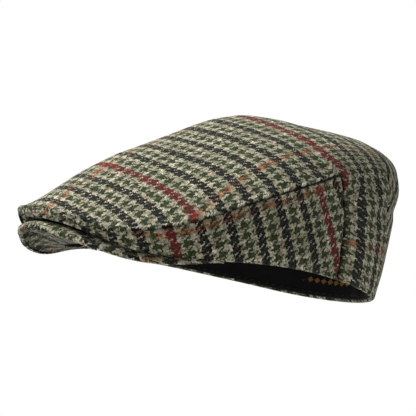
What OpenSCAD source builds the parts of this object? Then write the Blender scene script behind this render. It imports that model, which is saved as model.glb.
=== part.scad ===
// Tweed flat cap: one-piece top, two side panels and a short visor under a rolled front fold.
// Frame: +Z up, the front towards -Y, the wearer's left towards +X. The origin is the centre
// of the head opening, in the plane of its rim. Millimetres.

/* [Head opening] */
// Half width of the rim, outside
rim_half_width = 83; // [80:0.5:86]
// How far the rim reaches behind the origin
rim_back = 113; // [109:0.5:117]
// How far the opening's front edge lies behind the crown's front edge, under the visor
opening_setback = 33; // [29:1:37]
// How far the rim dips at the back and front, and rises at the sides
rim_saddle = 4.4; // [0:0.1:6]
// Rise of the opening's front edge over the forehead
forehead_rise = 12; // [8:1:15]
// How much higher the right temple sits than the left one, as the soft cap settles
temple_lift = 7.5; // [0:0.5:9]

/* [Crown] */
// Height of the crest above the rim plane
crown_height = 99.5; // [96:0.5:104]
// How far the crest lies behind the origin
crest_y = 15.5; // [12:0.5:19]
// How far the crown's front edge stands out over the visor
front_overhang = 7.5; // [5:0.5:10]
// Angle from the front at which the back seam runs down to the rim
back_seam_angle = 115; // [108:1:122]

/* [Visor] */
// Angle from the front at which the visor's tails end
visor_tail_angle = 58; // [54:1:62]
// Rise of the visor's middle, from the crown's front edge
visor_crown = 8; // [4:0.5:11]

/* [Cloth] */
// Thickness of the tweed
tweed = 1.6; // [1.2:0.1:2]
// Thickness of the interlining
interlining = 0.8; // [0.5:0.1:1]
// Thickness of the lining and the tapes
lining = 0.5; // [0.4:0.1:0.6]
// Height of the sweatband
band_height = 30; // [25:1:34]
// Thickness of the sweatband
band = 1; // [0.8:0.1:1.2]

/* [Stitches] */
// Length of one stitch
stitch_length = 3; // [2:0.5:4]
// Thickness of the thread
thread = 0.7; // [0.5:0.1:0.9]

/* [Hidden] */

// The crown's shape is given at stations every 30 degrees, from the front round to the back.
// Seam between the top panel and the sides: distance from the crest's axis, and height
seam_radius = [147, 130, 96, 77, 71, 87, 117];
seam_height = [30.5, 1, 37.5, 55.5, 70.5, 78.5, 81.5];
// Top panel: where its curve leaves the seam, as shares of the seam's radius and of the rise
shoulder_radius = [0.75, 0.77, 0.77, 0.79, 0.86, 0.92, 0.94];
shoulder_rise = [0.38, 0.44, 0.43, 0.51, 0.75, 0.95, 0.95];
// Top panel: where its curve levels out, as a share of the seam's radius
flat_radius = [0.19, 0.24, 0.34, 0.44, 0.55, 0.58, 0.57];
// Side panel: how far it bulges out
side_bulge = [-1, -1, 1.8, 3, 3.5, 4.9, 4.6];
// Rise of the crown's lower edge where the visor arches under it
edge_rise = [30, -2, 0.5, 0, 0, 0, 0];
// Visor's edge: how far it stands out past the crown's lower edge, and how far below it
visor_reach = [5, 2, 3, 1, 1, 1, 1];
visor_drop = [4, 4.6, -1.2, 0, 0, 0, 0];
// How far the visor's arch passes under the crown's lower edge
visor_arch_drop = 3;

// The right temple's lift is centred at this y, fades over this length and up to this height,
// and is whole from this far out on the right
lift_y = -48;
lift_length = 40;
lift_height = 60;
lift_side = 70;

// Where the front overhang and the opening's setback end, as angles from the front
overhang_end = 80;
setback_end = 62;

// Depths below the crown's outer face at which the inner layers start
gap = 0.3;
inner_depth = tweed + gap;
lining_clearance = inner_depth + interlining + 2 * gap;
band_depth = inner_depth + lining + 2 * gap;
// Share of the lining's height at which its top meets its sides, and how much lower in front
lining_split = 0.71;
lining_split_drop = 0.3;
// Where the lining's own start lies on the crown, its extra in front, and the share it eases over
lining_start = 0.06;
lining_lift = 1.1;
lining_join = 0.3;
// Share of the crown above which the lining passes under the interlining, and the share it takes
interlined_from = 0.75;
interlined_over = 0.3;
// Angles over which the inner walls turn from upright to following the crown
upright_end = 45;
upright_fade = 30;
// Height over the opening's edge at which the lining and the band are sewn in
sewn_height = 3;
// Steps of the surfaces round the crown and up it
hem_steps = 5;
ring_steps = 9;
side_steps = 6;
pole_share = 0.96;

// ---- Curves round the crown ----

// Value of a station list, mirrored past the front and the back
function station(list, i) = list[abs(i) > 6 ? 12 - abs(i) : abs(i)];

// Smooth curve through the stations; the angle is 0 at the front, +-180 at the back
function around(list, angle) =
    let (u = abs(angle) / 30, i = floor(u), t = u - i)
    (pow(1 - t, 3) * station(list, i - 1)
     + (3 * pow(t, 3) - 6 * t * t + 4) * station(list, i)
     + (-3 * pow(t, 3) + 3 * t * t + 3 * t + 1) * station(list, i + 1)
     + pow(t, 3) * station(list, i + 2)) / 6;

function polar(radius, angle, height) =
    [radius * sin(angle), crest_y - radius * cos(angle), height];

// Fades from 1 at the front to 0 at the given angle
function front_fade(angle, end, power) =
    abs(angle) < end ? pow(cos(90 * angle / end), power) : 0;

function eased(share) = let (t = min(max(share, 0), 1)) t * t * (3 - 2 * t);

// Point moved by the right temple's lift
function settled(p) =
    p + [0, 0, temple_lift * eased(-p.x / lift_side) * exp(-pow((p.y - lift_y) / lift_length, 2))
               * min(max(1 - p.z / lift_height, 0), 1)];

// Distance from the crest's axis to the rim's ellipse
function ellipse_radius(angle) =
    let (dx = sin(angle) / rim_half_width, dy = cos(angle) / rim_back, c = crest_y / rim_back,
         a = dx * dx + dy * dy, b = dy * c)
    (b + sqrt(b * b - a * (c * c - 1))) / a;

function rim_height(angle) = -rim_saddle * cos(2 * angle);

// Lower edge of the crown: the rim at the sides and back, the crease over the visor in front
function edge_radius(angle) =
    ellipse_radius(angle) + front_overhang * front_fade(angle, overhang_end, 1);
function crown_edge(angle) =
    polar(edge_radius(angle), angle, rim_height(angle) + around(edge_rise, angle));

// Edge of the head opening, which passes under the visor's root in front
function opening_radius(angle) =
    edge_radius(angle) - opening_setback * front_fade(angle, setback_end, 2);
function opening_height(angle) =
    rim_height(angle) + forehead_rise * front_fade(angle, setback_end, 2);
function seam(angle) =
    polar(around(seam_radius, angle), angle, around(seam_height, angle));

// ---- The crown's outer face: w is 0 at the lower edge, 1 at the seam and 2 at the crest ----

function side_point(angle, w) =
    let (low = crown_edge(angle), high = seam(angle),
         out = [sin(angle), -cos(angle), 0] * 2 * around(side_bulge, angle))
    low * pow(1 - w, 2) + ((low + high) / 2 + out) * 2 * w * (1 - w) + high * w * w;

function top_point(angle, v) =
    let (r = around(seam_radius, angle), z = around(seam_height, angle),
         r1 = r * around(shoulder_radius, angle), r2 = r * around(flat_radius, angle),
         z1 = z + (crown_height - z) * around(shoulder_rise, angle),
         b0 = pow(1 - v, 3), b1 = 3 * v * pow(1 - v, 2), b2 = 3 * v * v * (1 - v), b3 = pow(v, 3))
    polar(b0 * r + b1 * r1 + b2 * r2, angle, b0 * z + b1 * z1 + (b2 + b3) * crown_height);

function crown(angle, w) = settled(w < 1 ? side_point(angle, w) : top_point(angle, w - 1));

function unit(v) = v / norm(v);

// Point at a depth below the crown's outer face, along its normal
function under_crown(angle, w, depth) =
    let (step = 0.04,
         round_it = crown(angle + 1, w) - crown(angle - 1, w),
         up_it = crown(angle, min(w + step, 1.99)) - crown(angle, max(w - step, 0)))
    crown(angle, w) - depth * unit(cross(round_it, up_it));

// ---- Inner walls: the lining and the sweatband ----

// Point at a height over the opening's edge: upright in front, along the crown elsewhere
function wall_point(angle, h, depth) =
    let (weight = eased((abs(angle) - upright_end) / upright_fade),
         share = h / (around(seam_height, angle) - rim_height(angle)),
         upright = settled(polar(opening_radius(angle) - depth, angle, opening_height(angle) + h)))
    weight > 0 ? upright * (1 - weight) + under_crown(angle, share, depth) * weight : upright;

// The lining runs from the opening's edge, up against the crown's inside, to the crest
function lining_point(angle, v, depth) =
    let (w0 = lining_start + front_fade(angle, setback_end, 2) * lining_lift, w = w0 + (2 - w0) * v * v,
         weight = eased(v / lining_join),
         cleared = inner_depth + (lining_clearance - inner_depth) * eased((w - interlined_from) / interlined_over))
    wall_point(angle, sewn_height, inner_depth + depth) * (1 - weight)
    + under_crown(angle, w, cleared + depth) * weight;

// Share of the lining's height for a row between 0 and 1; row 0.5 is the seam with the top
function lining_share(angle, row) =
    let (split = lining_split - lining_split_drop * front_fade(angle, 90, 1))
    row < 0.5 ? 2 * row * split : split + (2 * row - 1) * (1 - split);

function lining_row(angles, row, depth) =
    [for (a = angles) lining_point(a, lining_share(a, row), depth)];

// ---- Visor: s runs from one tail at -1 to the other at 1, u from the root to the edge ----

function visor_edge(angle) =
    crown_edge(angle) + [sin(angle), -cos(angle), 0] * around(visor_reach, angle)
    - [0, 0, around(visor_drop, angle)];

function visor_point(s, u) =
    let (angle = s * visor_tail_angle, edge = visor_edge(angle),
         root = polar(opening_radius(angle) - 0.5, angle, opening_height(angle)),
         arch = crown_edge(angle) + [0, 0, visor_crown * (1 - s * s) - visor_arch_drop])
    settled(root * pow(1 - u, 2) + arch * 2 * u * (1 - u) + edge * u * u);

function under_visor(s, u, depth) =
    let (across = visor_point(min(s + 0.02, 1), u) - visor_point(max(s - 0.02, -1), u),
         along = visor_point(s, min(u + 0.03, 1)) - visor_point(s, max(u - 0.03, 0)))
    visor_point(s, u) - depth * unit(cross(along, across));

// ---- Closed solids from an outer and an inner grid of points ----

function flat_list(rows) = [for (row = rows) for (p = row) p];

// Two triangles for one cell; a and b are the lower corners, c and d the upper ones. Both sides of
// a sheet are cut along the same diagonal, so that its thickness stays even.
function cell(a, b, c, d) = [[c, d, a], [d, b, a]];
function turned_cell(a, b, c, d) = [[a, d, c], [a, b, d]];

// Faces between two rows of n points, rows j and j + 1; closed joins the last to the first
function wall_faces(n, rows, start, closed, flip) =
    [for (j = [0 : rows - 2]) for (k = [0 : n - (closed ? 1 : 2)])
        let (a = start + j * n + k, b = start + j * n + (k + 1) % n)
        each flip ? turned_cell(a, b, a + n, b + n) : cell(a, b, a + n, b + n)];

// Faces of the lower or upper border between the outer and the inner grid
function border_faces(n, outer_row, inner_row, closed, upper) =
    [for (k = [0 : n - (closed ? 1 : 2)])
        let (a = outer_row + k, b = outer_row + (k + 1) % n,
             c = inner_row + k, d = inner_row + (k + 1) % n)
        each upper ? cell(a, b, c, d) : cell(c, d, a, b)];

// Faces of the left or right end between the two grids
function end_faces(n, rows, total, column, right) =
    [for (j = [0 : rows - 2])
        let (a = j * n + column, c = a + n)
        each right ? cell(a, a + total, c, c + total) : cell(a + total, a, c + total, c)];

// Sheet with four borders
module sheet(outer, inner) {
    n = len(outer[0]);
    rows = len(outer);
    total = n * rows;
    polyhedron(
        points = concat(flat_list(outer), flat_list(inner)),
        faces = concat(
            end_faces(n, rows, total, n - 1, true),
            end_faces(n, rows, total, 0, false),
            border_faces(n, 0, total, false, false),
            border_faces(n, total - n, 2 * total - n, false, true),
            wall_faces(n, rows, total, false, true),
            wall_faces(n, rows, 0, false, false)));
}

// Band closed on itself, open above and below
module hoop(outer, inner) {
    n = len(outer[0]);
    rows = len(outer);
    total = n * rows;
    polyhedron(
        points = concat(flat_list(outer), flat_list(inner)),
        faces = concat(
            wall_faces(n, rows, 0, true, false),
            wall_faces(n, rows, total, true, true),
            border_faces(n, 0, total, true, false),
            border_faces(n, total - n, 2 * total - n, true, true)));
}

// Dome closed on itself, with one point at its crest
module dome(outer, outer_tip, inner, inner_tip) {
    n = len(outer[0]);
    rows = len(outer);
    total = n * rows;
    polyhedron(
        points = concat(flat_list(outer), flat_list(inner), [outer_tip, inner_tip]),
        faces = concat(
            wall_faces(n, rows, 0, true, false),
            wall_faces(n, rows, total, true, true),
            border_faces(n, 0, total, true, false),
            [for (k = [0 : n - 1]) [total - n + k, 2 * total, total - n + (k + 1) % n]],
            [for (k = [0 : n - 1])
                [2 * total - n + (k + 1) % n, 2 * total + 1, 2 * total - n + k]]));
}

// ---- Outer panels ----

// Angles of the columns on one side, closely spaced on both sides of the back seam
left_angles = concat(
    [for (i = [0 : 16]) back_seam_angle * i / 16],
    [for (i = [0 : 8]) back_seam_angle + 0.5 + (179.5 - back_seam_angle) * i / 8]);
ring_angles = concat(left_angles, [for (i = [len(left_angles) - 2 : -1 : 1]) -left_angles[i]]);

// The top panel starts at the long seam, and at the rim behind the back seams
panel_join = 1.06;
function panel_start(angle) = abs(angle) > back_seam_angle + 0.2 ? 0 : 1;
function panel_share(angle, j) =
    j < hem_steps
    ? panel_start(angle) + (panel_join - panel_start(angle)) * j / hem_steps
    : panel_join + (2 * pole_share - panel_join) * (j - hem_steps) / ring_steps;

module top_panel() {
    color("olivedrab")
        dome(
            [for (j = [0 : hem_steps + ring_steps]) [for (a = ring_angles) crown(a, panel_share(a, j))]],
            [0, crest_y, crown_height],
            [for (j = [0 : hem_steps + ring_steps])
                [for (a = ring_angles) under_crown(a, panel_share(a, j), tweed)]],
            [0, crest_y, crown_height - tweed]);
}

// Angles of a left or right sheet, always in the order that faces its outer side outwards
function side_angles(side, from, to, steps) =
    [for (i = [0 : steps]) side * (from + (to - from) * (side > 0 ? i : steps - i) / steps)];

module side_panel(side) {
    angles = side_angles(side, 0.2, back_seam_angle - 0.4, 20);
    sheet(
        [for (j = [0 : side_steps]) [for (a = angles) crown(a, 0.98 * j / side_steps)]],
        [for (j = [0 : side_steps]) [for (a = angles) under_crown(a, 0.98 * j / side_steps, tweed)]]);
}

module side_panel_left() {
    color("darkolivegreen")
        side_panel(1);
}

module side_panel_right() {
    color("darkolivegreen")
        side_panel(-1);
}

// ---- Visor ----

visor_steps = 28;
board_thickness = 1.1;
cover = 1;
visor_thickness = 2 * cover + board_thickness + 2 * gap;

// Layer of the visor between two depths, with a margin at the edge, root and tails
module visor_layer(from, to, edge_from, edge_to, margin) {
    shares = [for (u = [0, 0.2, 0.4, 0.6, 0.8, 0.95, 1]) margin + (1 - 2 * margin) * u];
    spans = [for (k = [-visor_steps / 2 : visor_steps / 2]) (1 - margin) * 2 * k / visor_steps];
    sheet(
        [for (u = shares) [for (s = spans) under_visor(s, u, u > 0.99 ? edge_from : from)]],
        [for (u = shares) [for (s = spans) under_visor(s, u, u > 0.99 ? edge_to : to)]]);
}

module visor_top_cover() {
    color("olivedrab")
        visor_layer(0, cover, 0, visor_thickness / 2 - 0.05, 0);
}

module visor_under_cover() {
    color("darkolivegreen")
        visor_layer(visor_thickness - cover, visor_thickness, visor_thickness / 2 + 0.05,
                    visor_thickness, 0);
}

module visor_board() {
    depth = cover + gap;
    color("dimgray")
        visor_layer(depth, depth + board_thickness, depth, depth + board_thickness, 0.07);
}

// ---- Inner layers ----

module crown_interlining() {
    start = 1.12;
    shares = [for (j = [0 : 7]) start + (1.97 - start) * j / 7];
    angles = [-180 : 9 : 171];
    color("beige")
        dome(
            [for (w = shares) [for (a = angles) under_crown(a, w, inner_depth)]],
            [0, crest_y, crown_height - inner_depth],
            [for (w = shares) [for (a = angles) under_crown(a, w, inner_depth + interlining)]],
            [0, crest_y, crown_height - inner_depth - interlining]);
}

module lining_top() {
    rows = [for (j = [0 : 6]) 0.505 + 0.465 * j / 6];
    angles = [-180 : 9 : 171];
    color("black")
        dome(
            [for (row = rows) lining_row(angles, row, 0)],
            [0, crest_y, crown_height - lining_clearance],
            [for (row = rows) lining_row(angles, row, lining)],
            [0, crest_y, crown_height - lining_clearance - lining]);
}

// Sheet of lining on one side, between two rows
module lining_sheet(side, low, high, depth, steps) {
    angles = side_angles(side, 0.3, 179.7, 20);
    rows = [for (j = [0 : steps]) low + (high - low) * j / steps];
    sheet(
        [for (row = rows) lining_row(angles, row, depth)],
        [for (row = rows) lining_row(angles, row, depth + lining)]);
}

module lining_left() {
    color("black")
        lining_sheet(1, 0, 0.495, 0, 6);
}

module lining_right() {
    color("black")
        lining_sheet(-1, 0, 0.495, 0, 6);
}

module lining_seam_tape_left() {
    color("dimgray")
        lining_sheet(1, 0.47, 0.53, lining + gap, 1);
}

module lining_seam_tape_right() {
    color("dimgray")
        lining_sheet(-1, 0.47, 0.53, lining + gap, 1);
}

function band_point(angle, h, depth) = wall_point(angle, h, band_depth + depth);

module sweatband() {
    angles = [-180 : 7.5 : 172.5];
    heights = [1, band_height / 3, band_height * 2 / 3, band_height];
    color("black")
        hoop(
            [for (h = heights) [for (a = angles) band_point(a, h, 0)]],
            [for (h = heights) [for (a = angles) band_point(a, h, band)]]);
}

// Small plate that stands on the band's inner face, centred at an angle and height
module on_band(angle, h, depth) {
    foot = band_point(angle, h, depth);
    above = unit(band_point(angle, h + 4, depth) - band_point(angle, h - 4, depth));
    beside = band_point(angle + 1, h, depth) - band_point(angle - 1, h, depth);
    turn = atan2(beside.y, beside.x);
    translate(foot)
        rotate([0, 0, turn])
            rotate([90 + asin(above.x * sin(turn) - above.y * cos(turn)), 0, 0])
                children();
}

// Join that closes the band at the back: width and thickness
join = [9, 0.6];

module sweatband_back_join() {
    color("black")
        on_band(180, band_height / 2 + 1, band + gap + join[1] / 2)
            cube([join[0], band_height - 3, join[1]], center = true);
}

// Label: where it is round the band, and its width, height and thickness
label_angle = 166;
label = [12, 18, 0.4];

module size_label() {
    color("gray")
        on_band(label_angle, band_height - label[1] / 2, band + gap + label[2])
            cube(label, center = true);
}

// Row of small diamonds: its first one's angle, the step between two, and a diamond's sides
ornament_count = 9;
ornament_start = -173;
ornament_pitch = 2.9;
ornament_height = 11;
diamond = [2.1, 2.1, 0.3];

module band_ornament() {
    color("goldenrod")
        for (i = [0 : ornament_count - 1])
            on_band(ornament_start + ornament_pitch * i, ornament_height, band + gap)
                rotate([0, 0, 45])
                    cube(diamond, center = true);
}

// ---- Threads ----

// How far a stitch's middle stands over the cloth
sunk = 0.1;

// One stitch from one point towards another
module stitch(from, to) {
    way = unit(to - from);
    translate((from + to) / 2)
        rotate([0, -asin(way.z), atan2(way.y, way.x)])
            cube([min(stitch_length, norm(to - from) * 0.7), thread, thread], center = true);
}

// Stitches along a list of points
module stitches(points) {
    for (i = [0 : len(points) - 2])
        stitch(points[i], points[i + 1]);
}

module seam_stitching(side) {
    stitches([for (i = [0 : 36]) under_crown(side * (6 + (back_seam_angle - 8) * i / 36), panel_join, -sunk)]);
}

module seam_stitching_left() {
    color("darkkhaki")
        seam_stitching(1);
}

module seam_stitching_right() {
    color("darkkhaki")
        seam_stitching(-1);
}

module back_stitching() {
    color("darkkhaki")
        for (side = [-1, 1])
            stitches([for (i = [0 : 16])
                under_crown(side * (back_seam_angle + 2), 0.04 + 0.9 * i / 16, -sunk)]);
}

// The band's stitching starts and ends this far round from the front
band_turn = 176;

module sweatband_stitching() {
    color("dimgray")
        stitches([for (i = [0 : 80]) band_point(band_turn * (i / 40 - 1), sewn_height, band + sunk)]);
}

module visor_stitching() {
    color("darkkhaki")
        stitches([for (i = [-24 : 24]) under_visor(i / 26, 0.93, -sunk)]);
}

module front_tack() {
    color("darkkhaki")
        for (i = [-1 : 1])
            translate(crown(i * 2, 0) + [0, -0.6, 0.4])
                cube([2, thread, thread * 2], center = true);
}

top_panel();
side_panel_left();
side_panel_right();
visor_top_cover();
visor_under_cover();
visor_board();
crown_interlining();
lining_top();
lining_left();
lining_right();
lining_seam_tape_left();
lining_seam_tape_right();
sweatband();
sweatband_back_join();
size_label();
band_ornament();
seam_stitching_left();
seam_stitching_right();
back_stitching();
sweatband_stitching();
visor_stitching();
front_tack();
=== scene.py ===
"""A houndstooth tweed flat cap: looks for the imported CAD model, in metres and in its frame.

+Z is up, the front is towards -Y and the wearer's left towards +X. Every cloth piece is a closed sheet
over the crown's surface. A place on the crown is an angle round the crest's axis (0 at the front,
180 at the back, in degrees) and a share w: 0 at the lower edge, 1 at the long seam, 2 at the crest.
"""

import math

import bmesh
import bpy
import numpy as np
from mathutils import Matrix, Vector


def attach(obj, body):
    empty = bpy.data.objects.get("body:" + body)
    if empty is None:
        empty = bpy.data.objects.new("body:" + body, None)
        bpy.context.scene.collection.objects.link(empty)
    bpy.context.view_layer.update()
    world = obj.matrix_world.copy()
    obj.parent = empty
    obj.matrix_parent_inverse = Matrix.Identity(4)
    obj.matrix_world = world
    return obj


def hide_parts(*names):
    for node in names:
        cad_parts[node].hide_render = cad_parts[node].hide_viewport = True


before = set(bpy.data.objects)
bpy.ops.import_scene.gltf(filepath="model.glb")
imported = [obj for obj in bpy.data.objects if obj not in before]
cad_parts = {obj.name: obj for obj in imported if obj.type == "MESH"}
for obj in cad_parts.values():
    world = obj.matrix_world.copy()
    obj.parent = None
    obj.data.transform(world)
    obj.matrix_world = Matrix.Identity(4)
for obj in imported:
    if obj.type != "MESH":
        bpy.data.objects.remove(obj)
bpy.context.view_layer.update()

MM = 0.001

# ---- The crown's shape, as in the CAD model ----

RIM_HALF_WIDTH = 83 * MM
RIM_BACK = 113 * MM
CROWN_HEIGHT = 99.5 * MM
CREST_Y = 15.5 * MM
FRONT_OVERHANG = 7.5 * MM
OPENING_SETBACK = 33 * MM
RIM_SADDLE = 4.4 * MM
FOREHEAD_RISE = 12 * MM
TEMPLE_LIFT = 7.5 * MM
LIFT_Y = -48 * MM
LIFT_LENGTH = 40 * MM
LIFT_HEIGHT = 60 * MM
LIFT_SIDE = 70 * MM
VISOR_CROWN = 8 * MM
# The soft front sits a little higher on its right
FRONT_LIFT = 8 * MM
FRONT_LIFT_HEIGHT = 36 * MM
FRONT_LIFT_SIDE = 36 * MM
FRONT_LIFT_WAY = [-0.12, -0.1, 1]
FRONT_LIFT_WIDTH = 22 * MM
FRONT_LIFT_Y = -70 * MM
# Share of the front fold's lift that the visor's edge has
EDGE_SHARE = 0.28
OVERHANG_END = 80
SETBACK_END = 62
BACK_SEAM = 115
VISOR_TAIL = 58
# Angle of the two darts at the back
DART = 152

# Stations every 30 degrees, from the front to the back
SEAM_RADIUS = np.array([147, 130, 96, 77, 71, 87, 117]) * MM
SEAM_HEIGHT = np.array([30.5, 1, 37.5, 55.5, 70.5, 78.5, 81.5]) * MM
SHOULDER_RADIUS = np.array([0.75, 0.77, 0.77, 0.79, 0.86, 0.92, 0.94])
SHOULDER_RISE = np.array([0.38, 0.44, 0.43, 0.51, 0.75, 0.95, 0.95])
FLAT_RADIUS = np.array([0.19, 0.24, 0.34, 0.44, 0.55, 0.58, 0.57])
SIDE_BULGE = np.array([-1, -1, 1.8, 3, 3.5, 4.9, 4.6]) * MM
EDGE_RISE = np.array([30, -2, 0.5, 0, 0, 0, 0]) * MM
VISOR_REACH = np.array([5, 3.6, 3, 1, 1, 1, 1]) * MM
VISOR_DROP = np.array([4.8, 4.9, -1.2, 0, 0, 0, 0]) * MM
VISOR_ARCH_DROP = 3 * MM

# Thicknesses of the layers, and depths below the crown's outer face
TWEED = 1.6 * MM
INTERLINING = 0.8 * MM
LINING = 0.5 * MM
GAP = 0.3 * MM
BAND_HEIGHT = 30 * MM
BAND = 1.0 * MM
INNER_DEPTH = TWEED + GAP
LINING_CLEARANCE = INNER_DEPTH + INTERLINING + 2 * GAP
BAND_DEPTH = INNER_DEPTH + LINING + 2 * GAP
VISOR_COVER = 1.0 * MM
VISOR_THICKNESS = 3.7 * MM
BOARD = 1.1 * MM


def around(stations, angle):
    """Smooth value of a station list at an angle."""
    u = np.abs(angle) / 30
    i = np.minimum(np.floor(u), 6).astype(int)
    t = u - i

    def at(k):
        return stations[np.where(np.abs(k) > 6, 12 - np.abs(k), np.abs(k))]

    weights = ((1 - t) ** 3, 3 * t**3 - 6 * t**2 + 4, -3 * t**3 + 3 * t**2 + 3 * t + 1, t**3)
    return sum(w * at(i + k) for k, w in zip((-1, 0, 1, 2), weights)) / 6


def grids(*values):
    return np.broadcast_arrays(*(np.asarray(v, float) for v in values))


def point(x, y, z):
    return np.stack(np.broadcast_arrays(x, y, z), -1).astype(float)


def polar(radius, angle, height):
    a = np.radians(angle)
    return point(radius * np.sin(a), CREST_Y - radius * np.cos(a), height)


def outward(angle):
    a = np.radians(angle)
    return point(np.sin(a), -np.cos(a), 0)


def eased(share):
    t = np.clip(share, 0, 1)
    return t * t * (3 - 2 * t)


def length_of(v):
    return np.linalg.norm(v, axis=-1)


def unit(v):
    return v / np.linalg.norm(v, axis=-1, keepdims=True)


def scaled(values, directions):
    return np.asarray(values)[..., None] * directions


def front_fade(angle, end, power):
    """1 at the front, falling to 0 at the end angle."""
    return np.cos(np.radians(90 * np.minimum(np.abs(angle) / end, 1))) ** power


def settled(p):
    """Points moved by the right temple's lift."""
    lift = eased(-p[..., 0] / LIFT_SIDE) * np.exp(-(((p[..., 1] - LIFT_Y) / LIFT_LENGTH) ** 2))
    low = np.clip(1 - p[..., 2] / LIFT_HEIGHT, 0, 1)
    return p + scaled(TEMPLE_LIFT * lift * low, [0, 0, 1])


def raised(p):
    """Points of the front fold, which sits a little higher on the right."""
    beside = np.exp(-(((p[..., 0] + FRONT_LIFT_SIDE) / FRONT_LIFT_WIDTH) ** 2))
    front = eased((FRONT_LIFT_Y - p[..., 1]) / FRONT_LIFT_WIDTH)
    low = np.clip(1 - p[..., 2] / FRONT_LIFT_HEIGHT, 0, 1)
    return p + scaled(FRONT_LIFT * beside * front * low, FRONT_LIFT_WAY)


def rim_height(angle):
    return -RIM_SADDLE * np.cos(np.radians(2 * angle))


def edge_radius(angle):
    """Distance from the crest's axis to the crown's lower edge."""
    a = np.radians(angle)
    dx, dy, c = np.sin(a) / RIM_HALF_WIDTH, np.cos(a) / RIM_BACK, CREST_Y / RIM_BACK
    square, half = dx * dx + dy * dy, dy * c
    ellipse = (half + np.sqrt(half * half - square * (c * c - 1))) / square
    return ellipse + FRONT_OVERHANG * front_fade(angle, OVERHANG_END, 1)


def crown_edge(angle):
    return polar(edge_radius(angle), angle, rim_height(angle) + around(EDGE_RISE, angle))


def opening_radius(angle):
    return edge_radius(angle) - OPENING_SETBACK * front_fade(angle, SETBACK_END, 2)


def opening_height(angle):
    return rim_height(angle) + FOREHEAD_RISE * front_fade(angle, SETBACK_END, 2)


def side_point(angle, w):
    low = crown_edge(angle)
    high = polar(around(SEAM_RADIUS, angle), angle, around(SEAM_HEIGHT, angle))
    middle = (low + high) / 2 + scaled(2 * around(SIDE_BULGE, angle), outward(angle))
    return scaled((1 - w) ** 2, low) + scaled(2 * w * (1 - w), middle) + scaled(w * w, high)


def top_point(angle, v):
    r, z = around(SEAM_RADIUS, angle), around(SEAM_HEIGHT, angle)
    r1, r2 = r * around(SHOULDER_RADIUS, angle), r * around(FLAT_RADIUS, angle)
    z1 = z + (CROWN_HEIGHT - z) * around(SHOULDER_RISE, angle)
    b0, b1, b2, b3 = (1 - v) ** 3, 3 * v * (1 - v) ** 2, 3 * v * v * (1 - v), v**3
    return polar(b0 * r + b1 * r1 + b2 * r2, angle, b0 * z + b1 * z1 + (b2 + b3) * CROWN_HEIGHT)


def cad_crown(angle, w):
    angle, w = grids(angle, w)
    below = (w < 1)[..., None]
    p = np.where(below, side_point(angle, np.minimum(w, 1)), top_point(angle, np.maximum(w - 1, 0)))
    return settled(raised(p))


# The soft knee: its blend along w, the angles where it comes in, its fading with w, its weights in sixteenths
KNEE_SPAN = 0.045
KNEE_START = 118
KNEE_LENGTH = 14
KNEE_FADE = 0.2
KNEE_REACH = 1.6
KNEE_TAPS = ((-2, 1), (-1, 4), (0, 6), (1, 4), (2, 1))


def crown(angle, w):
    """The crown's outer face. Behind the back seam the fold at w = 1 is a soft one."""
    angle, w = grids(angle, w)
    span = KNEE_SPAN * eased((np.abs(angle) - KNEE_START) / KNEE_LENGTH)
    span = span * eased(KNEE_REACH - np.abs(w - 1) / KNEE_FADE)
    return sum(share / 16 * cad_crown(angle, np.clip(w + k * span, 0, 2)) for k, share in KNEE_TAPS)


# Step of w for the derivatives, and the last w before the crest, where they vanish
W_STEP = 0.02
W_LAST = 1.99


def crown_tangents(angle, w):
    """Derivatives per degree and per unit of w."""
    low, high = np.maximum(w - W_STEP, 0), np.minimum(w + W_STEP, W_LAST)
    round_it = (crown(angle + 1, w) - crown(angle - 1, w)) / 2
    up_it = (crown(angle, high) - crown(angle, low)) / (high - low)[..., None]
    return round_it, up_it


def crown_normal(angle, w):
    round_it, up_it = crown_tangents(angle, w)
    return unit(np.cross(round_it, up_it))


# The inner wall is upright up to one angle, and follows the crown so many degrees further round
UPRIGHT_END = 45
UPRIGHT_FADE = 30
WALL_TOP = 1.9
# The lining's first w, and how much more in front; its foot's height on the wall; the share of its height
# over which it leaves the wall; and the w where it starts to clear the interlining
LINING_START = 0.06
LINING_FRONT_START = 1.1
LINING_FOOT = 3 * MM
LINING_LEAVES = 0.3
LINING_CLEARS = 0.75


def wall_point(angle, h, depth):
    """Inner wall at a height over the opening's edge: upright in front, along the crown elsewhere."""
    angle, h = grids(angle, h)
    weight = eased((np.abs(angle) - UPRIGHT_END) / UPRIGHT_FADE)
    w = np.clip(h / (around(SEAM_HEIGHT, angle) - rim_height(angle)), 0, WALL_TOP)
    upright = settled(polar(opening_radius(angle) - depth, angle, opening_height(angle) + h))
    along = cad_crown(angle, w) - scaled(depth, crown_normal(angle, w))
    return scaled(1 - weight, upright) + scaled(weight, along)


def lining_point(angle, v, depth):
    """The lining from the opening's edge at v = 0 to the crest at v = 1."""
    angle, v = grids(angle, v)
    start = LINING_START + LINING_FRONT_START * front_fade(angle, SETBACK_END, 2)
    w = start + (2 - start) * v * v
    weight = eased(v / LINING_LEAVES)
    cleared = INNER_DEPTH + (LINING_CLEARANCE - INNER_DEPTH) * eased((w - LINING_CLEARS) / 0.3)
    wall = wall_point(angle, LINING_FOOT, INNER_DEPTH + depth)
    under = cad_crown(angle, w) - scaled(cleared + depth, crown_normal(angle, w))
    return scaled(1 - weight, wall) + scaled(weight, under)


def visor_edge(angle):
    out, drop = around(VISOR_REACH, angle), around(VISOR_DROP, angle)
    return crown_edge(angle) + scaled(out, outward(angle)) - scaled(drop, [0, 0, 1])


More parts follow.
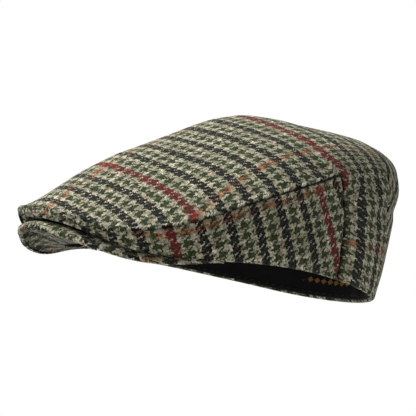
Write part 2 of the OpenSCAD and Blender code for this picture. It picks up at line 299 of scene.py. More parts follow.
def visor_point(s, u):
    """The visor's top: s runs from one tail at -1 to the other at 1, u from the root to the edge."""
    s, u = grids(s, u)
    angle = s * VISOR_TAIL
    root = polar(opening_radius(angle) - 0.5 * MM, angle, opening_height(angle))
    arch = raised(crown_edge(angle)) + scaled(VISOR_CROWN * (1 - s * s) - VISOR_ARCH_DROP, [0, 0, 1])
    edge = visor_edge(angle)
    edge = edge + EDGE_SHARE * (raised(edge) - edge)
    return settled(scaled((1 - u) ** 2, root) + scaled(2 * u * (1 - u), arch) + scaled(u * u, edge))


def visor_frame(s, u):
    """The visor's unit normal, upwards, and its unit tangent towards the edge."""
    across = visor_point(np.minimum(s + 0.02, 1), u) - visor_point(np.maximum(s - 0.02, -1), u)
    along = visor_point(s, np.minimum(u + 0.03, 1)) - visor_point(s, np.maximum(u - 0.03, 0))
    return unit(np.cross(across, along)) * -1, unit(along)


# ---- Seeded noise ----


def waves(p, wavelength, seed, count=12):
    """Smooth noise of about unit size over points: a sum of plane waves in seeded directions."""
    rng = np.random.default_rng(seed)
    total = np.zeros(p.shape[:-1])
    for _ in range(count):
        direction = unit(rng.normal(size=3))
        phase = rng.uniform(0, 2 * math.pi)
        length = wavelength * rng.uniform(0.7, 1.5)
        total += np.sin(2 * math.pi * (p @ direction) / length + phase)
    return total * math.sqrt(2 / count)


# ---- The weave's coordinates ----
# One check is 4 dark and 4 light threads. Cross threads count checks from the front red line
# towards the back; long threads count rows outwards from the middle, towards the wearer's left.

THREADS = 8
# Checks from one red line, or orange line, to the next
CHECKS_REPEAT = 12
CHECK_LONG = 9.9 * MM
CHECK_CROSS = 6.8 * MM
# Share of w that one row takes on the wall behind the back seam
WALL_ROW = 0.0905


# The top's threads bend as polynomials of p, how far back a place is plus a share of its height, in units
# of 50 mm, and of r, the square of its distance from the middle, in units of 3000 mm2
BACK_UNIT = 50
HEIGHT_SHARE = 0.62
MIDDLE_UNIT = 3000
# The middle row's offset and a row's width, in mm, each with its change per pair of checks
ROW_START = (-8, 1.7)
ROW_WIDTH = (6.65, -0.19)


def top_arc(x, p):
    """Distance along a cross thread from the crown's middle line."""
    r = x * x / MIDDLE_UNIT
    return x * (1 + r * (0.066 - 0.018 * p + 0.011 * p * p) + r * r * (0.0174 * p - 0.0025))


def top_weave(points):
    """Checks and rows at points of the top panel, above the long seam's level."""
    x, y, z = (points[..., k] / MM for k in range(3))
    p = (y + HEIGHT_SHARE * z) / BACK_UNIT
    r = x * x / MIDDLE_UNIT
    pair = 2.711 + 2.602 * p - 0.103 * p * p - r * (0.905 + 0.158 * p - 0.044 * p * p) + 0.265 * r * r
    rows = (top_arc(x, p) + ROW_START[0] + ROW_START[1] * pair) / (ROW_WIDTH[0] + ROW_WIDTH[1] * pair)
    return 2 * pair, rows


def seam_lean(angle, w):
    """Checks added beside a back seam: the cross threads run a little forwards at its top, and back below."""
    lean = 1.1 * eased((0.97 - w) / 0.25) - 0.35 * eased((1.25 - w) / 0.2)
    return lean * eased((136 - np.abs(angle)) / 20)


def wall_weave(angle, w):
    """Checks and rows behind the back seam, where the top panel comes down to the rim."""
    corner = crown(angle, 1)
    checks, rows = top_weave(corner)
    beside = np.sign(angle) * (17 + (1 - w) / WALL_ROW) + np.where(angle < 0, 2, 0)
    down = length_of(crown(angle, w) - corner)
    behind = np.abs(angle) > DART
    checks = checks + np.where(behind, down / CHECK_LONG, seam_lean(angle, w))
    return checks, np.where(behind, rows, beside)


def crown_weave(angle, w):
    """Checks and rows anywhere on the top panel."""
    angle, w = grids(angle, w)
    checks, rows = top_weave(crown(angle, w))
    wall_checks, wall_rows = wall_weave(angle, w)
    back = eased((np.abs(angle) - 107) / 7)
    below = w < 1
    checks = np.where(below, wall_checks, checks + back * seam_lean(angle, w))
    turn = np.where(np.abs(angle) > DART, below, np.where(below, 1, eased((1.35 - w) / 0.35) * back))
    return checks, rows + (wall_rows - rows) * turn


SIDE_ANGLES = np.linspace(0, 180, 361)
SIDE_LINE = crown(SIDE_ANGLES, 0.5)
SIDE_LENGTH = np.concatenate([[0], np.cumsum(length_of(np.diff(SIDE_LINE, axis=0)))])


# Angles of the side's red lines at the rim, and how far each leans forwards up to the seam
SIDE_REDS = ((43.3, 6 * MM), (115, 27 * MM))
# The first row's distance below the seam, and the shift in rows of the strip round the front
SIDE_FIRST_ROW = 5.5 * MM
STRIP_SHIFT = 2.5


def side_weave(angle, w):
    """Checks and rows on a side panel: the cross threads lean forwards as they rise."""
    length = np.interp(np.abs(angle), SIDE_ANGLES, SIDE_LENGTH)
    front_red, back_red = (np.interp(place, SIDE_ANGLES, SIDE_LENGTH) - lean * w for place, lean in SIDE_REDS)
    high = length_of(crown(angle, 1) - crown(angle, w))
    rows = -(high - SIDE_FIRST_ROW) / CHECK_CROSS - STRIP_SHIFT * eased((45 - np.abs(angle)) / 40)
    return CHECKS_REPEAT * (length - front_red) / (back_red - front_red), rows


def thread_counts(checks, rows, ditch_shade=0.0):
    """The weave attribute: thread numbers, with dark groups centred on whole checks and rows, and the
    strength of the painted shade in a seam's ditch, from 0 to 1."""
    return point(THREADS * checks + 2, THREADS * rows + 2, ditch_shade)


def ditch_shade_at(distance, angle):
    """Strength of the painted shade in a seam's ditch, weaker round the front."""
    return np.exp(-((distance / (1.1 * MM)) ** 2)) * (0.25 + 0.75 * eased((np.abs(angle) - 18) / 24))


# ---- Meshes ----


def quads(rows, columns, start=0, wrap_rows=False, wrap_columns=False):
    """Quads of a grid of points, numbered row by row."""
    r = np.arange(rows if wrap_rows else rows - 1)
    c = np.arange(columns if wrap_columns else columns - 1)
    r, c = np.meshgrid(r, c, indexing="ij")
    r, c = r.ravel(), c.ravel()
    r1, c1 = (r + 1) % rows, (c + 1) % columns
    return start + np.stack([r * columns + c, r * columns + c1, r1 * columns + c1, r1 * columns + c], 1)


def linked(name, data):
    obj = bpy.data.objects.new(name, data)
    bpy.context.scene.collection.objects.link(obj)
    return obj


def new_object(name, points, faces, weave=None, merge=None):
    mesh = bpy.data.meshes.new(name)
    mesh.from_pydata(np.asarray(points).reshape(-1, 3).tolist(), [], [list(map(int, f)) for f in faces])
    if weave is not None:
        attribute = mesh.attributes.new("weave", "FLOAT_VECTOR", "POINT")
        attribute.data.foreach_set("vector", np.asarray(weave, np.float32).ravel())
    mesh.validate()
    obj = linked(name, mesh)
    if merge:
        bm = bmesh.new()
        bm.from_mesh(mesh)
        bmesh.ops.remove_doubles(bm, verts=bm.verts, dist=merge)
        bm.to_mesh(mesh)
        bm.free()
    mesh.polygons.foreach_set("use_smooth", [True] * len(mesh.polygons))
    return obj


def closed_sheet(outer, inner, weave, closed=False):
    """Points, faces and weave of a sheet between two grids, closed round all of its borders."""
    rows, columns = outer.shape[:2]
    loop = np.concatenate([outer, inner[::-1]])
    faces = [quads(2 * rows, columns, wrap_rows=True, wrap_columns=closed)]
    if not closed:
        last = 2 * rows - 1
        j = np.arange(rows - 1)
        for c, turn in ((0, -1), (columns - 1, 1)):
            corners = (j, j + 1, last - j - 1, last - j)[::turn]
            faces.append(np.stack([row * columns + c for row in corners], 1))
    both = np.concatenate([weave, weave[::-1]])
    return loop.reshape(-1, 3), np.concatenate(faces), both.reshape(-1, 3)


def join_parts(parts):
    """Several (points, faces, weave) as one."""
    points, faces, weave, count = [], [], [], 0
    for p, f, t in parts:
        points.append(p)
        faces += [[int(i) + count for i in face] for face in f]
        weave.append(t)
        count += len(p)
    return np.concatenate(points), faces, np.concatenate(weave)


def new_piece(name, mesh, material, node, merge=None):
    """A piece that stands for a CAD node; mesh is its points, its faces and, for tweed, its weave."""
    obj = new_object(name, *mesh, merge=merge)
    obj.data.materials.append(material)
    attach(obj, "root")
    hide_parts(node)
    return obj


def plain_piece(name, outer, inner, material, slot, node, closed=False):
    """A piece that is a sheet between two grids, without a weave."""
    return new_piece(name, closed_sheet(outer, inner, outer, closed)[:2], material, node)


# ---- Materials ----


class Nodes:
    """Short calls that add linked shader nodes to a material."""

    def __init__(self, name):
        self.material = bpy.data.materials.new(name)
        self.material.use_nodes = True
        self.tree = self.material.node_tree
        self.shader = self.tree.nodes["Principled BSDF"]

    def add(self, kind, inputs=(), **settings):
        node = self.tree.nodes.new("ShaderNode" + kind)
        for key, value in settings.items():
            setattr(node, key, value)
        for key, value in dict(inputs).items():
            self.plug(value, node.inputs[key])
        return node

    def plug(self, value, socket):
        if isinstance(value, bpy.types.NodeSocket):
            self.tree.links.new(value, socket)
        elif value is not None:
            socket.default_value = value

    def math(self, operation, *values):
        return self.add("Math", enumerate(values), operation=operation).outputs[0]

    def times(self, a, b):
        return self.math("MULTIPLY", a, b)

    def mix(self, share, a, b):
        return self.add("Mix", {0: share, 6: a, 7: b}, data_type="RGBA").outputs[2]

    def mix_value(self, share, a, b):
        return self.add("Mix", {0: share, 2: a, 3: b}, data_type="FLOAT").outputs[0]

    def parts(self, vector):
        return self.add("SeparateXYZ", {0: vector}).outputs

    def noise(self, vector, scale, detail=2.0, roughness=0.5, output="Fac"):
        inputs = {"Vector": vector, "Scale": scale, "Detail": detail, "Roughness": roughness}
        return self.add("TexNoise", inputs).outputs[output]

    def random(self, x, y):
        """Random value of a pair of whole numbers."""
        pair = self.add("CombineXYZ", {0: x, 1: y}).outputs[0]
        return self.add("TexWhiteNoise", {"Vector": pair}, noise_dimensions="2D").outputs["Value"]

    def ramp(self, *value_and_ranges):
        """A value taken from one range to another, or to 0 to 1 if there is no other."""
        return self.add("MapRange", enumerate(value_and_ranges)).outputs[0]

    def bump(self, height, strength, distance, normal=None):
        inputs = {"Height": height, "Strength": strength, "Distance": distance, "Normal": normal}
        return self.add("Bump", inputs).outputs["Normal"]

    def scaled(self, vector, scale, rotation=(0, 0, 0)):
        return self.add("Mapping", {"Vector": vector, "Rotation": rotation, "Scale": scale}).outputs[0]

    def object_place(self):
        return self.add("TexCoord").outputs["Object"]

    def finish(self, colour, roughness, normal=None, sheen=0.0, sheen_roughness=0.5):
        inputs = {"Base Color": colour, "Roughness": roughness, "Normal": normal, "Sheen Weight": sheen,
                  "Sheen Roughness": sheen_roughness, "Specular IOR Level": 0.3}
        for key, value in inputs.items():
            self.plug(value, self.shader.inputs[key])
        return self.material


def rgb(r, g, b):
    """Linear colour from 8-bit display values."""
    def linear(c):
        c /= 255
        return c / 12.92 if c <= 0.04045 else ((c + 0.055) / 1.055) ** 2.4
    return (linear(r), linear(g), linear(b), 1.0)


CREAM = rgb(214, 205, 180)
BEIGE = rgb(190, 158, 130)
SAGE = rgb(150, 156, 126)
GREEN = rgb(56, 68, 38)
NAVY = rgb(14, 14, 21)
RED = rgb(120, 24, 34)
ORANGE = rgb(176, 108, 68)


def tweed_material(name, painted_shade=1.0):
    """Houndstooth: two-up two-down twill of 4 dark and 4 light threads, with red and orange lines."""
    n = Nodes(name)
    weave = n.add("Attribute", attribute_name="weave").outputs["Vector"]
    place = n.object_place()

    # Wandering threads: noise nudges the counts by up to three quarters of a thread
    cross_count, long_count, ditch_shade = n.parts(weave)
    wander = n.parts(n.noise(place, 420, 3.0, 0.65, "Color"))
    u = n.math("ADD", cross_count, n.ramp(wander[0], 0.3, 0.7, -0.75, 0.75))
    v = n.math("ADD", long_count, n.ramp(wander[1], 0.3, 0.7, -0.75, 0.75))
    iu, iv = n.math("FLOOR", u), n.math("FLOOR", v)

    def dark(i, threads=THREADS / 2):
        return n.math("LESS_THAN", n.math("FLOORED_MODULO", i, THREADS), threads)

    def group_is(i, repeat, value):
        group = n.math("FLOOR", n.math("DIVIDE", i, THREADS))
        return n.math("COMPARE", n.math("FLOORED_MODULO", group, repeat), value, 0.1)

    # Green threads weave two over, two under; black and red groups have one thread more, and three over
    bold_dark = dark(iu, n.math("ADD", THREADS / 2, group_is(iu, 2, 0)))
    bold = n.times(bold_dark, group_is(iu, 2, 0))
    float_over = n.math("ADD", 2.0, bold)
    over = n.math("LESS_THAN", n.math("FLOORED_MODULO", n.math("SUBTRACT", iu, iv), 4.0), float_over)

    # Light yarn is a mixture of cream, beige and sage
    blotch = n.noise(place, 260, 3.0, 0.6)
    light = n.mix(n.ramp(blotch, 0.35, 0.65), CREAM, SAGE)
    light = n.mix(n.ramp(n.noise(place, 330, 2.0, 0.5), 0.55, 0.72, 0.0, 0.8), light, BEIGE)

    # The light yarn of an orange group is tinged with it, in patches
    orange = group_is(iv, CHECKS_REPEAT, 0)
    patchy = n.ramp(n.noise(place, 130, 2.0, 0.5), 0.42, 0.58, 0.15, 1.0)
    tinged = n.times(n.times(orange, dark(iv, THREADS / 2 + 2)), patchy)
    light = n.mix(n.times(tinged, 0.5), light, ORANGE)
    cross = n.mix(group_is(iu, 2, 0), GREEN, NAVY)
    cross = n.mix(group_is(iu, CHECKS_REPEAT, 0), cross, RED)
    along = n.mix(n.times(orange, patchy), GREEN, ORANGE)
    colour = n.mix(over, n.mix(dark(iv), light, along), n.mix(bold_dark, light, cross))

    # Each thread is a little lighter or darker than the next, and flecked along its length
    thread, row = (n.ramp(n.random(*pair), 0, 1, -0.12, 0.12) for pair in ((iu, 7.0), (11.0, iv)))
    tone = n.math("ADD", thread, row)
    long_flecks = n.noise(n.scaled(weave, (0.2, 0.62, 1)), 1.0, 3.0, 0.6)
    cross_flecks = n.noise(n.scaled(weave, (0.62, 0.2, 1)), 1.0, 3.0, 0.6)
    flecks = n.mix_value(over, long_flecks, cross_flecks)
    tone = n.math("ADD", tone, n.ramp(flecks, 0.37, 0.63, 0.3, 1.6))

    # The threads are round across. Painted shade darkens them where they are low and in a seam's ditch, and a
    # faint painted highlight lightens their crowns
    def round_over(x):
        centred = n.math("SUBTRACT", n.times(n.math("FRACT", x), 2.0), 1.0)
        return n.math("SUBTRACT", 1.0, n.times(centred, centred))

    height = n.mix_value(over, round_over(v), round_over(u))
    tone = n.times(tone, n.ramp(height, 0.0, 0.8, 0.6, 1.12))
    tone = n.times(tone, n.ramp(ditch_shade, 0.0, 1.0, 1.0, 0.12))
    # A factor below 1 darkens the whole cloth: a copy of the tweed with painted shade
    toned = n.add("HueSaturation", {"Color": colour, "Value": n.times(tone, painted_shade)})

    # Fine pale hairs lie over the cloth, but not in the ditches, so that the painted shade there stays dark
    hairs = n.noise(n.scaled(place, (1, 6, 2.5), (0.5, 0.9, 0.6)), 300, 3.0, 0.6)
    hairs = n.times(n.ramp(hairs, 0.58, 0.74, 0.0, 0.36), n.ramp(ditch_shade, 0.0, 0.6, 1.0, 0.0))
    colour = n.mix(hairs, toned.outputs[0], CREAM)

    threads = n.bump(height, 0.55, 0.5 * MM)
    normal = n.bump(n.noise(place, 700, 3.0, 0.7), 0.5, 0.6 * MM, threads)
    return n.finish(colour, 0.95, normal, sheen=0.08, sheen_roughness=0.4)


def plain_cloth(name, colour, other, scale, roughness=0.85, sheen=0.1, strength=0.3):
    """Fine cloth with a twill grain and uneven colour."""
    n = Nodes(name)
    place = n.object_place()
    wave = n.add("TexWave", {"Vector": place, "Scale": scale, "Distortion": 1.5}, bands_direction="DIAGONAL")
    grain = n.noise(place, scale * 1.5, 3.0, 0.6)
    mixed = n.mix(n.ramp(grain, 0.35, 0.65), colour, other)
    height = n.math("ADD", wave.outputs["Fac"], grain)
    return n.finish(mixed, roughness, n.bump(height, strength, 0.2 * MM), sheen=sheen)


def thread_material(name, colour, other, sheen=0.3, roughness=0.7):
    """Twisted thread."""
    n = Nodes(name)
    place = n.object_place()
    grain = n.noise(place, 1500, 3.0, 0.6)
    mixed = n.mix(n.ramp(grain, 0.3, 0.7), colour, other)
    return n.finish(mixed, roughness, n.bump(grain, 0.4, 0.1 * MM), sheen=sheen)


tweed = tweed_material("houndstooth_tweed")
# The under cover is the same tweed darkened to 0.6: painted shade under the visor
painted_shade_tweed = tweed_material("houndstooth_painted_shade_under_visor", 0.6)
black_lining = plain_cloth("black_lining", rgb(15, 15, 16), rgb(9, 9, 10), 1400, 0.6, 0.08)
black_band = plain_cloth("black_sweatband", rgb(13, 13, 14), rgb(8, 8, 9), 1100, 0.8, 0.05)
black_tape = plain_cloth("black_tape", rgb(24, 24, 25), rgb(15, 15, 16), 1600, 0.7, 0.1)
label_cloth = plain_cloth("label_cloth", rgb(58, 58, 60), rgb(46, 46, 48), 2200, 0.55, 0.2)
felt = plain_cloth("interlining_felt", rgb(214, 206, 186), rgb(196, 188, 168), 500, 0.95, 0.1)
board = plain_cloth("visor_board", rgb(60, 60, 62), rgb(52, 52, 54), 300, 0.45, 0.0, 0.1)
gold_thread = thread_material("gold_thread", rgb(176, 128, 52), rgb(140, 96, 34), 0.2, 0.5)
seam_thread = thread_material("cream_thread", rgb(236, 232, 212), rgb(208, 202, 176))
dark_thread = thread_material("black_thread", rgb(14, 14, 15), rgb(30, 30, 31))
olive_thread = thread_material("olive_thread", rgb(92, 94, 62), rgb(70, 74, 48))

# ---- Tweed panels ----

# A seam's edge rolls under within this distance
ROLL = 2.8 * MM
# Radius of the hem's fold at the rim, and how far it runs up inside
HEM = 1.45 * MM
HEM_FLAP = 4 * MM
# Steps of w away from a seam, closely spaced beside it
SEAM_STEPS = np.array([0, 0.003, 0.007, 0.012, 0.018, 0.026, 0.036, 0.05, 0.07, 0.1, 0.14, 0.19])
# Seeds of the top panel's puckers and of all the tweed's dents
TOP_SEED = 21
DENT_SEED = 5
SIDES = ((1, "left"), (-1, "right"))


def rolled(distance):
    """Depth of the outer face near a seam: a quarter circle down to the seam line."""
    t = np.clip(1 - distance / ROLL, 0, 1)
    return ROLL * (1 - np.sqrt(1 - t * t)) * 0.95


def seam_lengths(angle, w):
    """Lengths of a degree and of a unit of w, for distances to the seams."""
    round_it, up_it = crown_tangents(angle, w)
    return length_of(round_it), length_of(up_it)


def puckered(points, distance, seed):
    """Small puckers that die out away from a seam."""
    return 0.5 * MM * waves(points, 14 * MM, seed) * np.exp(-distance / (6 * MM))


def dented(points):
    """Soft unevenness of the whole cloth."""
    return 0.45 * MM * waves(points, 60 * MM, DENT_SEED) + 0.12 * MM * waves(points, 20 * MM, DENT_SEED + 1)


def pinch(angle, w):
    """Shallow crease round the back, higher towards its middle, under a soft swell."""
    height = w - 0.5 - 0.2 * eased((np.abs(angle) - 128) / 24)
    crease = 0.9 * np.exp(-((height / 0.05) ** 2)) - 1.3 * np.exp(-(((height - 0.15) / 0.1) ** 2))
    return crease * MM * eased((np.abs(angle) - 119) / 16)


def refined(marks, start, end, step):
    """Angles from start to end, closely spaced at both sides of each mark."""
    close = np.array([0.05, 0.3, 0.6, 0.95, 1.35, 1.8, 2.4])
    base = np.arange(start, end + step / 2, step)
    for mark in marks:
        base = base[np.abs(base - mark) > close[-1] + step / 3]
        base = np.concatenate([base, mark - close, mark + close])
    base = np.sort(base)
    return base[(base >= start - 1e-9) & (base <= end + 1e-9)]


def top_distance(angle, w):
    """Distance to the nearest seam or dart of the top panel."""
    per_degree, per_w = seam_lengths(angle, np.clip(w, 1.01, 1.6))
    beyond = np.maximum(np.abs(angle) - BACK_SEAM, 0) * per_degree
    above = np.maximum(w - 1, 0) * per_w
    seam = np.hypot(beyond, above)
    dart = np.hypot((np.abs(angle) - DART) * per_degree, np.maximum(w - 0.97, 0) * per_w * 2.5)
    return np.minimum(seam, dart + 0.3 * MM)


HIGHEST_BUMP = 2.2 * MM


def covered(angle, w, seed, distance):
    """Outer and inner faces of the tweed at places on the crown."""
    base, normal = crown(angle, w), crown_normal(angle, w)
    roll = rolled(distance)
    bump = puckered(base, distance, seed) + dented(base) - pinch(angle, w)
    outer = base + scaled(np.minimum(bump, HIGHEST_BUMP) - roll, normal)
    inner = base + scaled(np.minimum(bump * 0.5, 0) - TWEED - 0.5 * roll, normal)
    return outer, inner


def hem_rows(angle):
    """The fold at the rim, from its inner flap round to the outer face; its w; and the flap's inner row."""
    tenth = length_of(crown(angle, 0.1) - crown(angle, 0))
    w = np.clip(HEM / tenth * 0.1, 0, 0.3)
    base, normal = crown(angle, w), crown_normal(angle, w)
    up = unit(crown_tangents(angle, w)[1])
    centre = base + scaled(dented(base) - HEM, normal)
    flap = np.minimum(HEM_FLAP, 0.3 * tenth * 10)
    turns = np.radians(np.linspace(180, 15, 12))
    fold = [centre + HEM * (math.cos(t) * normal - math.sin(t) * up) for t in turns]
    flap_outer, flap_inner = (centre + scaled(h, normal) + scaled(flap, up) for h in (-HEM, HEM - TWEED))
    return np.array([flap_outer, *fold]), w, flap_inner


def panel(angle, shares, seed, distance_of, weave_of):
    """Outer face, inner face and weave over a grid of angles and shares of w, with a folded hem below."""
    hem_outer, start, flap_inner = hem_rows(angle)
    a, w = np.meshgrid(angle, shares)
    w = start + (1 - start) * w
    distance = distance_of(a, w)
    outer, inner = covered(a, w, seed, distance)
    checks, rows = weave_of(a, w)
    # Painted shade in the seam's ditch, carried in the weave attribute
    ditch_shade = ditch_shade_at(distance, a)

    n = len(hem_outer)
    fold_rows = rows[:1] + np.linspace(1.2, 0.05, n)[:, None]

    def repeated(row, grid):
        return np.concatenate([np.repeat(row, n, 0), grid])

    rows = np.concatenate([fold_rows, rows])
    weave = thread_counts(repeated(checks[:1], checks), rows, repeated(ditch_shade[:1], ditch_shade))
    return np.concatenate([hem_outer, outer]), repeated(flap_inner[None], inner), weave


def dome_part(ring):
    """The part of the top panel over the seam, closed at the seam except above the wall part."""
    shares = 1 + np.concatenate([SEAM_STEPS, np.linspace(0.25, 0.94, 26)])
    a, w = np.meshgrid(ring, shares)
    distance = top_distance(a, w)
    outer, inner = covered(a, w, TOP_SEED, distance)
    # The weave attribute carries the painted shade in the seams' ditches
    weave = thread_counts(*crown_weave(a, w), ditch_shade_at(distance, a)).reshape(-1, 3)
    rows, columns = outer.shape[:2]
    total = rows * columns
    faces = quads(rows, columns, wrap_columns=True).tolist()
    faces += quads(rows, columns, total, wrap_columns=True)[:, ::-1].tolist()

    # The seam's edge, wherever a quad has a corner in front of the back seams
    edge = np.arange(columns)
    ahead = (edge + 1) % columns
    front = np.abs(ring) < BACK_SEAM
    joined = front | front[ahead]
    e, e1 = edge[joined], ahead[joined]
    faces += np.stack([e1, e, e + total, e1 + total], 1).tolist()

    # The crest's two tips
    last = (rows - 1) * columns
    faces += [(last + i, last + j, 2 * total) for i, j in zip(edge, ahead)]
    faces += [(last + total + j, last + total + i, 2 * total + 1) for i, j in zip(edge, ahead)]
    tip = np.array([0, CREST_Y, CROWN_HEIGHT])
    tip = tip + [0, 0, dented(tip)]
    points = np.concatenate([outer.reshape(-1, 3), inner.reshape(-1, 3), [tip, tip - [0, 0, TWEED]]])
    tip_weave = thread_counts(*crown_weave([180.0], [1.999]))
    return points, faces, np.concatenate([weave, weave, tip_weave, tip_weave])


def wall_part(ring):
    """The part of the top panel between the back seams and the rim."""
    back = ring[np.abs(ring) > BACK_SEAM]
    shares = np.concatenate([np.linspace(0, 0.92, 34), [0.95, 0.975, 1.0]])

    def distance(a, w):
        per_degree = seam_lengths(a, np.clip(w, 0.05, 0.95))[0]
        seam = (np.abs(a) - BACK_SEAM) * per_degree
        dart = np.abs(np.abs(a) - DART) * per_degree
        return np.where(w < 0.9999, np.minimum(seam, dart + 0.3 * MM), top_distance(a, w))

    return open_sheet(*panel(back, shares, TOP_SEED, distance, crown_weave))


def open_sheet(outer, inner, weave):
    """A sheet closed at its lower border and both ends, and open at its upper border."""
    rows, columns = outer.shape[:2]
    points, faces, both = closed_sheet(outer, inner, weave)
    upper = (faces // columns == rows - 1).any(1) & (faces // columns == rows).any(1)
    ends = np.ptp(faces % columns, axis=1) == 0
    return points, faces[~upper | ends], both


# The top panel's two parts join where their points are this close
MERGE = 2e-6

ring = refined((BACK_SEAM, DART, 360 - DART, 360 - BACK_SEAM), 0, 358.5, 1.5)
ring = np.where(ring > 180, ring - 360, ring)
top_mesh = join_parts([dome_part(ring), wall_part(ring)])
top = new_piece("tweed_top", top_mesh, tweed, "top_panel", MERGE)


def side_piece(side, name):
    """One side panel, with the strip that it sends round the front."""
    angle = side * refined((0, BACK_SEAM), 0.05, BACK_SEAM - 0.05, 1.4)
    angle = angle if side > 0 else angle[::-1]
    shares = np.concatenate([np.linspace(0, 0.78, 24), 1 - SEAM_STEPS[::-1]])

    def distance(a, w):
        per_degree, per_w = seam_lengths(a, np.clip(w, 0.05, 0.95))
        ends = np.minimum(BACK_SEAM - np.abs(a), np.abs(a) + 0.6) * per_degree
        return np.minimum(ends, (1 - w) * per_w)

    mesh = closed_sheet(*panel(angle, shares, 31 + side, distance, side_weave))
    return new_piece(f"tweed_side_{name}", mesh, tweed, f"side_panel_{name}")


for side, name in SIDES:
    side_piece(side, name)

# ---- Visor ----

VISOR_EDGE_RADIUS = VISOR_THICKNESS / 2
VISOR_S = np.linspace(-1, 1, 161)
VISOR_ROWS = 30
# Where a tail starts to slip in and up, and how far it goes
TAIL_START = 0.66
TAIL_IN = 3 * MM
TAIL_UP = 4.5 * MM
# The angle that the top cover wraps round the edge, and how far inside its lip the under cover lies
LIP_TURN = 165
UNDER_INSET = 0.6 * MM
# Checks at the top cover's lip, so that a black line follows the edge, and its middle row
VISOR_CHECKS = 13.8
TOP_COVER_ROWS = -10.3
# The under cover's red line, in checks from the middle, and its orange line, behind the edge
UNDER_RED = 1.8
UNDER_ORANGE = 49 * MM


def tucked(s, p):
    """The visor's tails slip up inside the side panels."""
    tail = eased((np.abs(s) - TAIL_START) / (1 - TAIL_START))
    inwards = -outward(s * VISOR_TAIL)
    return p + scaled(TAIL_IN * tail, inwards) + scaled(TAIL_UP * tail, [0, 0, 1])


def visor_rows(end):
    """Grid of the visor's upper face up to a distance from its edge, with its normals and directions."""
    s, u = np.meshgrid(VISOR_S, np.linspace(0, 1, VISOR_ROWS))
    u = u * (1 - end / length_of(visor_point(s, 1) - visor_point(s, 0)))
    normal, along = visor_frame(s, u)
    return tucked(s, visor_point(s, u)), normal, along


def visor_weave(grid, turned=False):
    """Thread counts over a cover laid flat. The cross threads of a turned cover run from front to back."""
    face, middle = grid[:VISOR_ROWS], grid.shape[1] // 2
    steps = np.hypot(*np.moveaxis(np.diff(face[..., ::2], axis=1), -1, 0))
    side = np.concatenate([np.zeros((VISOR_ROWS, 1)), np.cumsum(steps, 1)], 1)
    side -= side[:, middle, None]
    front = face[..., 1]
    turn = length_of(np.diff(grid[VISOR_ROWS - 1:], axis=0)).cumsum(0)
    ahead = unit((face[-1] - face[-4]) * [1, 1, 0])
    side = np.concatenate([side, side[-1] + turn * ahead[:, 0]])
    front = np.concatenate([front, front[-1] + turn * ahead[:, 1]])
    front = front - front[-1, middle]
    if turned:
        return thread_counts(side / CHECK_LONG - UNDER_RED, (front - UNDER_ORANGE) / CHECK_CROSS)
    return thread_counts(VISOR_CHECKS + front / CHECK_LONG, side / CHECK_CROSS + TOP_COVER_ROWS)


def visor_top_piece():
    """The top cover, with the lip that it turns round the visor's edge."""
    face, normal, along = visor_rows(VISOR_EDGE_RADIUS)
    face = face + scaled(0.25 * MM * waves(face, 35 * MM, 51), normal)
    centre = face[-1] - VISOR_EDGE_RADIUS * normal[-1]
    turns = np.radians(np.linspace(0, LIP_TURN, 15)[1:])

    def lip(radius):
        return [centre + radius * (math.cos(t) * normal[-1] + math.sin(t) * along[-1]) for t in turns]

    outer = np.concatenate([face, lip(VISOR_EDGE_RADIUS)])
    inner = np.concatenate([face - scaled(VISOR_COVER, normal), lip(VISOR_EDGE_RADIUS - VISOR_COVER)])
    mesh = closed_sheet(outer, inner, visor_weave(outer))
    return new_piece("tweed_visor_top", mesh, tweed, "visor_top_cover")


def visor_under_piece():
    face, normal, _ = visor_rows(VISOR_EDGE_RADIUS + 0.9 * MM)
    depth = VISOR_THICKNESS - UNDER_INSET - 0.2 * MM * waves(face, 30 * MM, 52)
    outer = face - scaled(depth, normal)
    inner = outer + scaled(VISOR_COVER, normal)
    points, faces, weave = closed_sheet(outer, inner, visor_weave(outer, turned=True))
    mesh = points, faces[:, ::-1], weave
    return new_piece("tweed_visor_under", mesh, painted_shade_tweed, "visor_under_cover")


# Rows at the root and columns at each tail that the board leaves free
BOARD_ROOT = 2
BOARD_TAIL = 14


def visor_board_piece():
    """The stiff board between the covers, thinner along its root and its edge."""
    face, normal, _ = visor_rows(VISOR_EDGE_RADIUS + 0.4 * MM)
    kept = slice(BOARD_ROOT, None), slice(BOARD_TAIL, -BOARD_TAIL)
    face, normal = face[kept], normal[kept]
    row = np.arange(len(face))[:, None]
    rim = np.minimum(row, row[::-1]) / 2
    half = BOARD / 2 * np.sqrt(np.clip(rim, 0.25, 1)) * np.ones(face.shape[:2])
    middle = face - scaled(VISOR_COVER + GAP + BOARD / 2, normal)
    return plain_piece("board_plate", middle + scaled(half, normal), middle - scaled(half, normal),
                       board, "board", "visor_board")


visor_board_piece()
visor_top = visor_top_piece()
visor_under = visor_under_piece()

# ---- Lining, sweatband and what is on them ----


# Depth of the lining's folds, and how far its crown hangs clear of the interlining
FOLD = 0.5 * MM
CROWN_SLACK = 0.8 * MM


def lining_share(angle, row):
    """Share of the lining's height for a row; 0.5 is the seam with its top."""
    split = 0.71 - 0.3 * front_fade(angle, 90, 1)
    return np.where(row < 0.5, 2 * row * split, split + (2 * row - 1) * (1 - split))


def lining_sheet(angles, rows, seed, depth=0, fold=FOLD):
    """Outer and inner faces of a piece of the lining over a grid of angles and rows."""
    a, r = np.meshgrid(angles, rows)
    share = lining_share(a, r)
    base = lining_point(a, share, depth)
    inside = unit(lining_point(a, share, depth + LINING) - base)
    seam_near = np.minimum(np.abs(r - 0.5) / 0.06, 1)
    slack = fold * (0.5 + 0.5 * np.abs(waves(base, 28 * MM, seed))) * eased(seam_near) * eased(r / 0.1)
    slack = slack + CROWN_SLACK * eased((r - 0.55) / 0.15)
    return base + scaled(slack, inside), base + scaled(slack + LINING, inside)


FULL_RING = np.arange(-180, 180, 2.5)
HALF_RINGS = {"left": np.linspace(0.2, 179.8, 80), "right": np.linspace(-179.8, -0.2, 80)}

